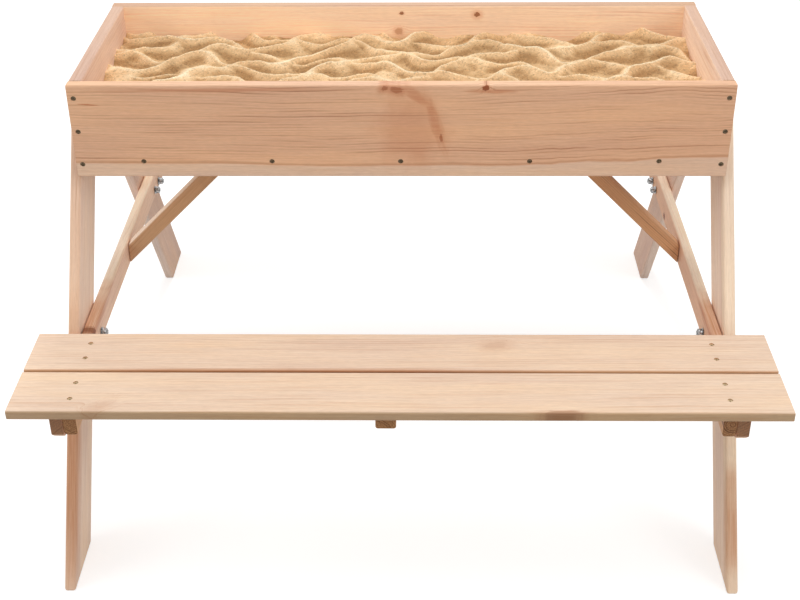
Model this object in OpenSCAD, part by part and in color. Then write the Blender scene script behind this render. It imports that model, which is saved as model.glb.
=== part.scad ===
// Children's picnic table whose top is an open tray of sand, with a bench on each long side.
// Origin on the ground under the middle of the tray, X along the benches, Y from front to back, Z up.

/* [Tray] */
// Length of the tray along X
tray_l = 810; // [600:5:1200]
// Depth of the tray along Y
tray_d = 302; // [240:2:420]
// Height of the four tray boards
tray_h = 122; // [105:1:160]
// Thickness of the tray boards
panel_t = 16; // [14:0.5:22]
// Height of the tray's rim above the ground
rim_z = 559; // [500:1:640]
// Thickness of the plywood floor
floor_t = 5; // [3:0.5:9]
// Width of a floor batten
floor_batten_w = 20; // [15:1:30]
// Height of a floor batten
floor_batten_h = 25; // [20:1:35]
// Distance between the middles of neighbouring floor battens
floor_batten_pitch = 160; // [120:1:175]
// Height of the floor battens' middles above the tray boards' lower edges
floor_batten_rise = 21; // [18:0.5:26]

/* [Sand] */
// Depth of the sand's mean level below the rim
sand_drop = 43; // [36:1:52]
// Height of the ripples from trough to crest
ripple_h = 23; // [8:1:26]
// Distance from one ripple to the next
ripple_pitch = 60; // [45:1:90]
// Largest distance between two points of the sand's surface
sand_step = 10; // [8:0.5:20]

/* [Legs] */
// Width of a leg board
leg_w = 76; // [60:1:90]
// Thickness of a leg board
leg_t = 14; // [12:0.5:20]
// Distance from the middle to the feet's outer corners along Y
foot_reach = 430; // [380:5:500]
// Height of the legs' tops above the tray boards' lower edges
leg_rise = 58; // [45:1:75]
// Gap between the tops of a front and a rear leg
leg_top_gap = 6; // [4:0.5:20]

/* [Benches] */
// Length of a bench plank
bench_l = 900; // [860:5:1100]
// Width of a bench plank
plank_w = 81; // [60:1:90]
// Thickness of a bench plank
plank_t = 12.5; // [11:0.5:20]
// Gap between the two planks of a bench
plank_gap = 3; // [1:0.5:8]
// Height of the seats above the ground
seat_z = 276; // [250:2:320]
// Gap along Y between a bench and the legs at the planks' underside
bench_leg_gap = 11.5; // [8:0.5:40]
// Thickness of a seat beam
beam_t = 16; // [12:0.5:20]
// Height of a seat beam
beam_h = 36; // [30:1:50]
// Size of the lower corner that is sawn off each end of a beam
beam_bevel = 8; // [2:0.5:12]
// How far the beams, cleats and battens stop short of a bench's outer edge
beam_inset = 10; // [4:1:20]
// Thickness of a cleat
cleat_t = 16; // [14:0.5:26]
// Height of a cleat
cleat_h = 28; // [20:1:34]
// How far the cleats and battens stop short of a bench's inner edge
cleat_inset = 6; // [2:1:20]
// Width of the batten under the middle of a bench
bench_batten_w = 24; // [18:1:34]
// Height of the batten under the middle of a bench
bench_batten_h = 18; // [14:1:24]
// Distance of that batten from the bench's middle along X
bench_batten_shift = 15; // [0:1:40]

/* [Braces] */
// Width of a brace
brace_w = 20; // [16:1:30]
// Depth of a brace along Y
brace_d = 20; // [14:1:30]
// Height of the braces' upper ends above the floor battens' middles
brace_lift = 6.5; // [0:0.5:9]

/* [Screws] */
// Diameter of a screw's shank
screw_d = 3.5; // [3:0.1:4.5]
// Diameter of a screw's head
screw_head_d = 6; // [5.5:0.1:8.5]
// Depth of the screw heads below the wood
head_sink = 1.2; // [0:0.1:1.5]
// Length of the screws in the tray boards
panel_screw_l = 42; // [32:1:50]
// Distance of the end screws from a tray board's upper and lower edges
panel_screw_margin = 17; // [12:1:24]
// Length of the screws in the tray's floor
floor_screw_l = 20; // [14:1:24]
// Distance of the floor screws from the tray's middle along Y
floor_screw_y = 90; // [60:1:100]
// Length of the screws through the bench planks
bench_screw_l = 32; // [26:1:35]
// Distance between the two screws at one end of a plank
bench_screw_pitch = 32; // [20:1:44]
// How far those pairs of screws sit inboard of the planks' middles
bench_screw_shift = 1; // [0:1:8]
// Length of the screws up through the bench battens
bench_batten_screw_l = 27; // [22:1:28]
// Length of the screws from the cleats into the beams
cleat_screw_l = 30; // [26:1:32]
// Distance of the cleat screws from the cleats' ends
cleat_screw_margin = 33; // [20:1:40]
// Length of the screws into the braces' ends
brace_screw_l = 34; // [28:1:36]
// How far those screws sit off the middles of the braces' ends
brace_screw_shift = 8; // [4:0.5:9]

/* [Bolts] */
// Diameter of a bolt
bolt_d = 6; // [5:0.5:8]
// Diameter of a bolt's domed head
bolt_head_d = 15; // [12:0.5:18]
// Height of a bolt's domed head
bolt_head_h = 3.2; // [2.5:0.1:4.5]
// Depth of the square neck under a bolt's head
bolt_neck = 3; // [2:0.5:5]
// How far a bolt stands out of its nut
bolt_end = 1.5; // [1:0.5:6]
// Distance between the two bolts of a beam joint
beam_bolt_pitch = 31; // [26:1:36]
// How far the beam bolts sit outboard of the leg's middle
beam_bolt_shift = -3; // [-6:1:6]
// How far the beam bolts sit below the beam's middle
beam_bolt_drop = 6; // [0:0.5:8]
// Distance between the two bolts of a tray joint
tray_bolt_pitch = 34; // [26:1:38]
// Height of the tray bolts above the tray boards' lower edges
tray_bolt_rise = 15; // [12:0.5:18]
// Outer diameter of a washer
washer_d = 12; // [11:0.5:16]
// Thickness of a washer
washer_t = 1.6; // [1:0.1:2.5]
// Width of a nut across its flats
nut_af = 10; // [8:0.5:13]
// Thickness of a nut
nut_t = 5; // [4:0.5:7]

/* [Finish] */
// Size of the eased edges along the boards
edge_break = 2; // [0.5:0.1:2.5]
// Clearance of a screw or bolt in its hole
fit = 0.15; // [0.1:0.05:0.4]

/* [Hidden] */
$fn = 32;
LEFT = -1;
RIGHT = 1;
FRONT = -1;
REAR = 1;

// Heights
tray_z = rim_z - tray_h;
batten_z = tray_z + floor_batten_rise;
floor_z = batten_z + floor_batten_h / 2;
sand_z = floor_z + floor_t;
sand_level = rim_z - sand_drop;
bench_z = seat_z - plank_t;
beam_z = bench_z - beam_h / 2;
beam_bolt_z = beam_z - beam_bolt_drop;
tray_bolt_z = tray_z + tray_bolt_rise;

// How far a cut runs past the face it opens
past = 1;
// Thickness of the rim round a screw's head
screw_brim = 0.4;

// Inside of the tray
inner_l = tray_l - 2 * panel_t;
inner_d = tray_d - 2 * panel_t;

// A leg leans so that its outer foot corner and its inner top corner are where they should be
leg_top_z = tray_z + leg_rise;
leg_run = foot_reach - leg_top_gap / 2;
leg_lean = acos(leg_w / sqrt(pow(leg_run, 2) + pow(leg_top_z, 2))) - atan2(leg_top_z, leg_run);
leg_cut = leg_w / cos(leg_lean);
function leg_mid(z) = foot_reach - leg_cut / 2 - z * tan(leg_lean);

// From the end panels inwards: the legs lie outside them, the beams inside the legs
leg_x = tray_l / 2;
beam_x = leg_x - beam_t;
cleat_x = beam_x - cleat_t;

// A bench starts a gap outside the legs
bench_in = leg_mid(bench_z) + leg_cut / 2 + bench_leg_gap;
bench_d = 2 * plank_w + plank_gap;
bench_out = bench_in + bench_d;
cleat_out = bench_out - beam_inset;
cleat_in = bench_in + cleat_inset;
inner_plank_y = bench_in + plank_w / 2;
outer_plank_y = bench_out - plank_w / 2;
cleat_y = (cleat_in + cleat_out) / 2;

// A brace rises from the middle of a beam to the side of a floor batten
brace_x = floor_batten_pitch + floor_batten_w / 2;
brace_top_z = batten_z + brace_lift;
brace_slope = atan2(brace_top_z - beam_z, beam_x - brace_x);
brace_cut = brace_w / cos(brace_slope);

// Screw and bolt places
batten_xs = [for (i = [-2:2]) i * floor_batten_pitch];
column_zs = [tray_z + panel_screw_margin, tray_z + tray_h / 2, rim_z - panel_screw_margin];
column_x = (tray_l - panel_t) / 2;
panel_screw_spots = concat([for (x = [-column_x, column_x], z = column_zs) [x, z]],
                           [for (x = batten_xs) [x, batten_z]]);
bench_screw_ys = [for (y = [inner_plank_y, outer_plank_y], s = [-1, 1])
                  y - bench_screw_shift + s * bench_screw_pitch / 2];
beam_bolt_ys = [for (s = [-1, 1]) leg_mid(beam_bolt_z) + beam_bolt_shift + s * beam_bolt_pitch / 2];
tray_bolt_ys = [for (s = [-1, 1]) leg_mid(tray_bolt_z) + s * tray_bolt_pitch / 2];
cleat_screw_ys = [cleat_in + cleat_screw_margin, cleat_out - cleat_screw_margin];

// Lengths of the bolts: through the wood, the washer and the nut, and a little beyond
beam_grip = leg_t + beam_t;
tray_grip = leg_t + panel_t;
bolt_beyond = washer_t + nut_t + bolt_end;

// Colours
spruce = "#dcb894";
spruce_pale = "#ecd0b0";
spruce_warm = "#cda280";
plywood = "#d8bb90";
sand_tone = "#d6ae78";
zinc = "#a9adb0";

// Outline of a board's section with its four edges eased
module board_section(w, t) {
    x = w / 2;
    y = t / 2;
    e = edge_break;
    polygon([[x - e, y], [e - x, y], [-x, y - e], [-x, e - y],
             [e - x, -y], [x - e, -y], [x, e - y], [x, y - e]]);
}

// Board along X, its width along Y and its thickness along Z
module board(l, w, t) {
    rotate([90, 0, 90]) linear_extrude(l, center = true) board_section(w, t);
}

// Screw along +Z whose head sinks just below the face at z = 0, or the hole for it
module screw(l, clear = 0) {
    r = screw_d / 2 + clear;
    h = screw_head_d / 2 + clear;
    brim = head_sink + screw_brim;
    top = clear > 0 ? -past : head_sink;
    tip = screw_d + clear;
    rotate_extrude() polygon([[0, top], [h, top], [h, brim], [r, brim + h - r],
                              [r, l - tip], [0, l + clear]]);
}

// Coach bolt along +Z, its head resting on the face at z = 0, or the hole for it
module coach_bolt(l, clear = 0) {
    neck_w = bolt_d + 2 * clear;
    cylinder(h = l, d = bolt_d + 2 * clear);
    translate([-neck_w / 2, -neck_w / 2, 0]) cube([neck_w, neck_w, bolt_neck + clear]);
    if (clear == 0) bolt_dome();
}

// Domed head, a cap of a sphere
module bolt_dome() {
    r = (pow(bolt_head_d / 2, 2) + pow(bolt_head_h, 2)) / (2 * bolt_head_h);
    intersection() {
        translate([0, 0, r - bolt_head_h]) sphere(r, $fn = 64);
        translate([0, 0, -bolt_head_h]) cylinder(h = bolt_head_h, d = 2 * bolt_head_d);
    }
}

module washer() {
    difference() {
        cylinder(h = washer_t, d = washer_d);
        translate([0, 0, -past]) cylinder(h = washer_t + 2 * past, d = bolt_d + 2 * fit);
    }
}

module nut() {
    difference() {
        cylinder(h = nut_t, d = nut_af / cos(30), $fn = 6);
        translate([0, 0, -past]) cylinder(h = nut_t + 2 * past, d = bolt_d + 2 * fit);
    }
}

// Places of the screws through the front or back panel
module at_panel_screws(side) {
    for (p = panel_screw_spots) translate([p.x, side * tray_d / 2, p.y]) rotate([side * 90, 0, 0])
        children();
}

// Places of the screws down through the floor into batten number i
module at_floor_screws(i) {
    for (y = [-floor_screw_y, floor_screw_y]) translate([batten_xs[i], y, sand_z]) rotate([180, 0, 0])
        children();
}

// Places of the screws down through a bench into its cleats
module at_bench_screws(side) {
    for (x = [-1, 1] * (cleat_x + beam_x) / 2, y = bench_screw_ys)
        translate([x, side * y, seat_z]) rotate([180, 0, 0]) children();
}

// Places of the screws up through a bench batten, one into each plank
module at_bench_batten_screws(side) {
    for (y = [inner_plank_y, outer_plank_y])
        translate([side * bench_batten_shift, side * y, bench_z - bench_batten_h]) children();
}

// Places of the screws from a cleat into its beam
module at_cleat_screws(end, side) {
    for (y = cleat_screw_ys)
        translate([end * cleat_x, side * y, bench_z - cleat_h / 2]) rotate([0, end * 90, 0]) children();
}

// Places of the level screws into a brace's ends: one through the beam and one through the floor batten
module at_brace_screws(end) {
    translate([end * leg_x, 0, beam_z + brace_screw_shift]) rotate([0, -end * 90, 0]) children();
    translate([end * (brace_x - floor_batten_w), 0, brace_top_z - brace_screw_shift])
        rotate([0, end * 90, 0]) children();
}

// Places of the bolts through a leg and what lies inside it, from the leg's outer face inwards
module at_bolts(end, side, ys, z) {
    for (y = ys) translate([end * (leg_x + leg_t), side * y, z]) rotate([0, -end * 90, 0]) children();
}

module at_beam_bolts(end, side) { at_bolts(end, side, beam_bolt_ys, beam_bolt_z) children(); }
module at_tray_bolts(end, side) { at_bolts(end, side, tray_bolt_ys, tray_bolt_z) children(); }

// Front or back board of the tray, as long as the tray
module long_panel(side) {
    color(spruce_warm) difference() {
        translate([0, side * (tray_d - panel_t) / 2, tray_z + tray_h / 2]) rotate([90, 0, 0])
            board(tray_l, tray_h, panel_t);
        at_panel_screws(side) screw(panel_screw_l, fit);
    }
}

// End board of the tray, between the front and the back board
module end_panel(end) {
    color(spruce) difference() {
        translate([end * (tray_l - panel_t) / 2, 0, tray_z + tray_h / 2]) rotate([90, 0, 90])
            board(inner_d, tray_h, panel_t);
        for (side = [FRONT, REAR]) {
            at_panel_screws(side) screw(panel_screw_l, fit);
            at_tray_bolts(end, side) coach_bolt(tray_grip + past, fit);
        }
    }
}

module tray_floor() {
    color(plywood) difference() {
        translate([-inner_l / 2 + fit, -inner_d / 2 + fit, floor_z])
            cube([inner_l - 2 * fit, inner_d - 2 * fit, floor_t]);
        for (i = [0:4]) at_floor_screws(i) screw(floor_screw_l, fit);
    }
}

// Batten number i under the floor, from the front board to the back one
module floor_batten(i) {
    color(spruce) difference() {
        translate([batten_xs[i], 0, batten_z]) rotate([0, 0, 90])
            board(inner_d, floor_batten_w, floor_batten_h);
        for (side = [FRONT, REAR]) at_panel_screws(side) screw(panel_screw_l, fit);
        at_floor_screws(i) screw(floor_screw_l, fit);
        for (end = [LEFT, RIGHT]) at_brace_screws(end) screw(brace_screw_l, fit);
    }
}

// A wave of length 1 that swings between -1 and 1, and a row of sharp crests 1 apart
function wave(t, start = 0) = sin(360 * (t + start));
function crest(t) = 1 - pow(abs(sin(180 * t)), 1.15);

// Height of the sand at a point: two sets of crests that wander, cross and swell, with short ones in the
// hollows between them. The point and the lengths of the waves are counted in ripple pitches.
function sand_at(x, y) =
    let (u = x / ripple_pitch,
         v = y / ripple_pitch,
         across = u + 0.2 * wave(v / 2, 0.08) + 0.13 * wave((u + v) / 1.4, 0.55),
         along = v + 0.25 * wave(u / 3.2, 0.1) + 0.15 * wave((u - v / 2) / 1.5, 0.03),
         swell = wave(u / 5.2, 0.2) * wave((v + 0.3 * u) / 4, 0.25),
         rising = crest(along + 0.34 * across) * (0.8 + 0.2 * swell),
         falling = crest((along - 0.52 * across) / 1.2 + 0.3) * (0.85 - 0.15 * swell),
         main = max(rising, falling),
         short = crest((across + 0.25 * along) / 2 + 0.1) * (1 - main))
    sand_level + ripple_h * (0.75 * main + 0.25 * short + 0.12 * swell - 0.4);

// Sand from the floor up: a rippled top, upright sides and a flat bottom fanned about its middle
module sand_fill() {
    nx = ceil(inner_l / sand_step);
    ny = ceil(inner_d / sand_step);
    row = nx + 1;
    xs = [for (i = [0:nx]) -inner_l / 2 + inner_l * i / nx];
    ys = [for (j = [0:ny]) -inner_d / 2 + inner_d * j / ny];
    top = [for (y = ys, x = xs) [x, y, sand_at(x, y)]];
    rim = concat([for (i = [0:nx]) i], [for (j = [1:ny]) j * row + nx],
                 [for (i = [1:nx]) ny * row + nx - i], [for (j = [1:ny - 1]) (ny - j) * row]);
    n = len(rim);
    low = [for (k = rim) [top[k].x, top[k].y, sand_z]];
    base = len(top);
    middle = base + n;
    tiles = [for (j = [0:ny - 1], i = [0:nx - 1]) j * row + i];
    faces = concat(
        [for (a = tiles, half = [0, 1]) half == 0 ? [a, a + row, a + 1] : [a + 1, a + row, a + row + 1]],
        [for (k = [0:n - 1], half = [0, 1]) let (m = (k + 1) % n)
            half == 0 ? [rim[k], rim[m], base + m] : [rim[k], base + m, base + k]],
        [for (k = [0:n - 1]) [base + k, base + (k + 1) % n, middle]]);
    color(sand_tone)
        polyhedron(points = concat(top, low, [[0, 0, sand_z]]), faces = faces, convexity = 6);
}

// Leg board leaning inwards, cut level at the ground and under its top corner
module leg(end, side) {
    color(spruce) difference() {
        intersection() {
            translate([end * (leg_x + leg_t / 2), side * leg_mid(leg_top_z / 2), leg_top_z / 2])
                rotate([side * leg_lean, 0, 0]) rotate([0, -90, 0])
                board(2 * leg_top_z, leg_w, leg_t);
            translate([-tray_l, -tray_l, 0]) cube([2 * tray_l, 2 * tray_l, leg_top_z]);
        }
        at_beam_bolts(end, side) coach_bolt(leg_t + past, fit);
        at_tray_bolts(end, side) coach_bolt(leg_t + past, fit);
    }
}

// Beam from front to back inside the legs, which carries both benches and has
// the lower corners of its ends sawn off
module seat_beam(end) {
    saw = beam_bevel * sqrt(2);
    color(spruce) difference() {
        translate([end * (leg_x - beam_t / 2), 0, beam_z]) rotate([90, 0, 90])
            board(2 * cleat_out, beam_h, beam_t);
        for (side = [FRONT, REAR]) {
            translate([end * (leg_x - beam_t / 2), side * cleat_out, beam_z - beam_h / 2])
                rotate([45, 0, 0]) cube([beam_t + 2 * past, saw, saw], center = true);
            at_beam_bolts(end, side) coach_bolt(beam_grip + past, fit);
            at_cleat_screws(end, side) screw(cleat_screw_l, fit);
        }
        at_brace_screws(end) screw(brace_screw_l, fit);
    }
}

// Brace with upright ends, trimmed level where it meets the floor
module brace(end) {
    half = brace_cut / 2;
    color(spruce_warm) difference() {
        rotate([90, 0, 0]) linear_extrude(brace_d, center = true) intersection() {
            polygon([[end * beam_x, beam_z - half], [end * beam_x, beam_z + half],
                     [end * brace_x, brace_top_z + half], [end * brace_x, brace_top_z - half]]);
            translate([-tray_l, 0]) square([2 * tray_l, floor_z]);
        }
        at_brace_screws(end) screw(brace_screw_l, fit);
    }
}

// Bench plank with its middle at y on one side of the table
module plank(side, y) {
    color(spruce_pale) difference() {
        translate([0, side * y, bench_z + plank_t / 2]) board(bench_l, plank_w, plank_t);
        at_bench_screws(side) screw(bench_screw_l, fit);
        at_bench_batten_screws(side) screw(bench_batten_screw_l, fit);
    }
}

// Short block beside the beam that the bench is screwed down to
module cleat(end, side) {
    color(spruce_warm) difference() {
        translate([end * (cleat_x + beam_x) / 2, side * cleat_y, bench_z - cleat_h / 2])
            rotate([0, 0, 90]) board(cleat_out - cleat_in, cleat_t, cleat_h);
        at_bench_screws(side) screw(bench_screw_l, fit);
        at_cleat_screws(end, side) screw(cleat_screw_l, fit);
    }
}

// Batten that ties the two planks together near their middle
module bench_batten(side) {
    color(spruce_warm) difference() {
        translate([side * bench_batten_shift, side * cleat_y, bench_z - bench_batten_h / 2])
            rotate([0, 0, 90]) board(cleat_out - cleat_in, bench_batten_w, bench_batten_h);
        at_bench_batten_screws(side) screw(bench_batten_screw_l, fit);
    }
}

module panel_screws(side) { color(zinc) at_panel_screws(side) screw(panel_screw_l); }
module floor_screws() { color(zinc) for (i = [0:4]) at_floor_screws(i) screw(floor_screw_l); }
module bench_screws(side) { color(zinc) at_bench_screws(side) screw(bench_screw_l); }

module bench_batten_screws() {
    color(zinc) for (side = [FRONT, REAR]) at_bench_batten_screws(side) screw(bench_batten_screw_l);
}

module cleat_screws() {
    color(zinc) for (end = [LEFT, RIGHT], side = [FRONT, REAR]) at_cleat_screws(end, side)
        screw(cleat_screw_l);
}

module brace_screws() {
    color(zinc) for (end = [LEFT, RIGHT]) at_brace_screws(end) screw(brace_screw_l);
}

// The same thing on each bolt of one kind of joint, a distance in from the legs' outer faces
module on_each_bolt(joint, depth) {
    color(zinc) for (end = [LEFT, RIGHT], side = [FRONT, REAR]) {
        if (joint == "beam") at_beam_bolts(end, side) translate([0, 0, depth]) children();
        if (joint == "tray") at_tray_bolts(end, side) translate([0, 0, depth]) children();
    }
}

long_panel(FRONT);  // front_panel
long_panel(REAR);  // back_panel
end_panel(LEFT);  // left_end_panel
end_panel(RIGHT);  // right_end_panel
tray_floor();
floor_batten(0);  // floor_batten_1
floor_batten(1);  // floor_batten_2
floor_batten(2);  // floor_batten_3
floor_batten(3);  // floor_batten_4
floor_batten(4);  // floor_batten_5
sand_fill();
leg(LEFT, FRONT);  // front_left_leg
leg(RIGHT, FRONT);  // front_right_leg
leg(LEFT, REAR);  // rear_left_leg
leg(RIGHT, REAR);  // rear_right_leg
seat_beam(LEFT);  // left_seat_beam
seat_beam(RIGHT);  // right_seat_beam
brace(LEFT);  // left_brace
brace(RIGHT);  // right_brace
plank(FRONT, outer_plank_y);  // front_bench_outer_plank
plank(FRONT, inner_plank_y);  // front_bench_inner_plank
cleat(LEFT, FRONT);  // front_left_cleat
cleat(RIGHT, FRONT);  // front_right_cleat
bench_batten(FRONT);  // front_bench_batten
plank(REAR, outer_plank_y);  // rear_bench_outer_plank
plank(REAR, inner_plank_y);  // rear_bench_inner_plank
cleat(LEFT, REAR);  // rear_left_cleat
cleat(RIGHT, REAR);  // rear_right_cleat
bench_batten(REAR);  // rear_bench_batten
panel_screws(FRONT);  // front_panel_screws
panel_screws(REAR);  // back_panel_screws
floor_screws();
bench_screws(FRONT);  // front_bench_screws
bench_screws(REAR);  // rear_bench_screws
bench_batten_screws();
cleat_screws();
brace_screws();
on_each_bolt("beam", 0) coach_bolt(beam_grip + bolt_beyond);  // beam_bolts
on_each_bolt("beam", beam_grip) washer();  // beam_washers
on_each_bolt("beam", beam_grip + washer_t) nut();  // beam_nuts
on_each_bolt("tray", 0) coach_bolt(tray_grip + bolt_beyond);  // tray_bolts
on_each_bolt("tray", tray_grip) washer();  // tray_washers
on_each_bolt("tray", tray_grip + washer_t) nut();  // tray_nuts
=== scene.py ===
# Children's picnic table with a tray of sand in its top, dressed for its picture.
import math

import bmesh
import bpy
import numpy as np
from mathutils import Matrix, Vector


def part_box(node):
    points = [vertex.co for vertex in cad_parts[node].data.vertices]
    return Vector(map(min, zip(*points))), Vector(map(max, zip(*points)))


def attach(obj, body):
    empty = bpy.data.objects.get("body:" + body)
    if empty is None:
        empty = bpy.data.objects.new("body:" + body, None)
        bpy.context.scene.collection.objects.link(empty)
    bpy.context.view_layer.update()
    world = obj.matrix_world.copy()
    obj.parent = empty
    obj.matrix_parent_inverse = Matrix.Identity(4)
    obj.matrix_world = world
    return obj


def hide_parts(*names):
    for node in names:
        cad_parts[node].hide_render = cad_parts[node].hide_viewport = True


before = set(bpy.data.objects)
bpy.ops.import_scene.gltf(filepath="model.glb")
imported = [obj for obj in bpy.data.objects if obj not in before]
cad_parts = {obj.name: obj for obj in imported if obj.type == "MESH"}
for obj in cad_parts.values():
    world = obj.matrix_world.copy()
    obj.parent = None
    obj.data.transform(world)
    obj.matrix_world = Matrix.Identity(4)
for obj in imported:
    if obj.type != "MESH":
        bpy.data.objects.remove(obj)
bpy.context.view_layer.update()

MM = 0.001
X = Vector((1, 0, 0))
Y = Vector((0, 1, 0))
Z = Vector((0, 0, 1))

# Rounding of the boards' sawn ends
END_EASE = 0.7 * MM

# How much thinner a beam and shorter a brace is drawn, so that each joint shows as a dark line
BEAM_GAP = 1.2 * MM
BRACE_SHARE = 0.996

# Faces that meet at less than this angle are shaded as one surface
SMOOTH_BELOW = math.radians(33)

# The tray's sand, in millimetres, with the same values as the solid
RIPPLE_PITCH = 60
RIPPLE_HEIGHT = 23
SAND_LEVEL = 516

# Spacing of the sand's points and how far a sharp crest stands proud, in millimetres, and a steep slope
SAND_CELL = 2
CREST_HEIGHT = 2.2
STEEP = 0.6

# The corner sawn off under each end of a seat beam
BEAM_BEVEL = 8 * MM


# Nodes and colours

def colour(code):
    """Linear colour of an sRGB hex code."""
    parts = [int(code[i:i + 2], 16) / 255 for i in (1, 3, 5)]
    return tuple(c / 12.92 if c <= 0.04045 else ((c + 0.055) / 1.055) ** 2.4 for c in parts) + (1,)


def feed(tree, node, inputs):
    """Set or link a node's inputs. A node given as a value links its first output."""
    for key, value in inputs.items():
        if isinstance(value, bpy.types.Node):
            value = value.outputs[0]
        if isinstance(value, bpy.types.NodeSocket):
            tree.links.new(value, node.inputs[key])
        else:
            node.inputs[key].default_value = value


def add(tree, kind, inputs=None, **settings):
    """Add a node with its settings and links."""
    node = tree.nodes.new(kind)
    for name, value in settings.items():
        setattr(node, name, value)
    feed(tree, node, inputs or {})
    return node


def new_group(name, kind, inputs, outputs):
    """Node group with its sockets; inputs and outputs map a socket's name to its kind."""
    tree = bpy.data.node_groups.new(name, kind)
    for side, sockets in (("INPUT", inputs), ("OUTPUT", outputs)):
        for label, socket in sockets.items():
            tree.interface.new_socket(label, in_out=side, socket_type="NodeSocket" + socket)
    return tree


def new_material(name):
    """Empty material with its shader; returns the material, its tree and the shader."""
    material = bpy.data.materials.new(name)
    material.use_nodes = True
    tree = material.node_tree
    return material, tree, tree.nodes["Principled BSDF"]


def set_ramp(node, stops):
    """Put the stops, each a place and a grey level or a colour, on a colour ramp."""
    ramp = node.color_ramp
    while len(ramp.elements) < len(stops):
        ramp.elements.new(0.5)
    for element, (place, value) in zip(ramp.elements, stops):
        element.position = place
        element.color = value if isinstance(value, tuple) else (value, value, value, 1)
    return node


# Spruce

def make_knot_group():
    """One knot or stain: how far it bends the rings, and the masks of its core and its stain."""
    tree = new_group("knot in spruce", "ShaderNodeTree",
                     {"Place": "Vector", "Centre": "Vector", "Angle": "Float", "Size": "Float",
                      "Stretch": "Float", "Core": "Float", "Stain": "Float", "Reach": "Float",
                      "Swing": "Float", "Bend So Far": "Float", "Core So Far": "Float",
                      "Stain So Far": "Float"},
                     {"Bend": "Float", "Core": "Float", "Stain": "Float"})
    given = add(tree, "NodeGroupInput").outputs
    away = add(tree, "ShaderNodeVectorMath", {0: given["Place"], 1: given["Centre"]}, operation="SUBTRACT")
    turned = add(tree, "ShaderNodeVectorRotate", {"Vector": away, "Angle": given["Angle"]},
                 rotation_type="Z_AXIS")
    long_size = add(tree, "ShaderNodeMath", {0: given["Size"], 1: given["Stretch"]}, operation="MULTIPLY")
    sizes = add(tree, "ShaderNodeCombineXYZ", {0: long_size, 1: given["Size"], 2: 1000000})
    ratio = add(tree, "ShaderNodeVectorMath", {0: turned, 1: sizes}, operation="DIVIDE")
    # The outline wobbles by a third of the knot's size, more slowly along a long knot than across it
    seeded = add(tree, "ShaderNodeVectorMath", {0: ratio, 1: given["Centre"]}, operation="ADD")
    ragged = add(tree, "ShaderNodeTexNoise", {"Vector": seeded, "Scale": 1.6, "Detail": 3})
    centred = add(tree, "ShaderNodeVectorMath", {0: ragged.outputs["Color"], 1: (0.5, 0.5, 0.5)},
                  operation="SUBTRACT")
    wobble = add(tree, "ShaderNodeVectorMath", {0: centred, 1: (1.3, 1.3, 0)}, operation="MULTIPLY")
    wobbled = add(tree, "ShaderNodeVectorMath", {0: ratio, 1: wobble}, operation="ADD")
    length = add(tree, "ShaderNodeVectorMath", {0: wobbled}, operation="LENGTH").outputs["Value"]
    # The rings swing round the knot out to three times its size
    near = add(tree, "ShaderNodeMapRange", {0: length, 1: 3.2, 2: 0, 3: 0, 4: 1},
               interpolation_type="SMOOTHERSTEP")
    push = add(tree, "ShaderNodeMath", {0: near, 1: given["Size"]}, operation="MULTIPLY")
    pushed = add(tree, "ShaderNodeMath", {0: push, 1: given["Swing"], 2: given["Bend So Far"]},
                 operation="MULTIPLY_ADD")
    core = add(tree, "ShaderNodeMapRange", {0: length, 1: 1.1, 2: 0.75, 3: 0, 4: given["Core"]},
               interpolation_type="SMOOTHSTEP")
    most_core = add(tree, "ShaderNodeMath", {0: core, 1: given["Core So Far"]}, operation="MAXIMUM")
    stain = add(tree, "ShaderNodeMapRange", {0: length, 1: given["Reach"], 2: 0.4, 3: 0, 4: given["Stain"]},
                interpolation_type="SMOOTHSTEP")
    most_stain = add(tree, "ShaderNodeMath", {0: stain, 1: given["Stain So Far"]}, operation="MAXIMUM")
    add(tree, "NodeGroupOutput", {"Bend": pushed, "Core": most_core, "Stain": most_stain})
    return tree


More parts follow.
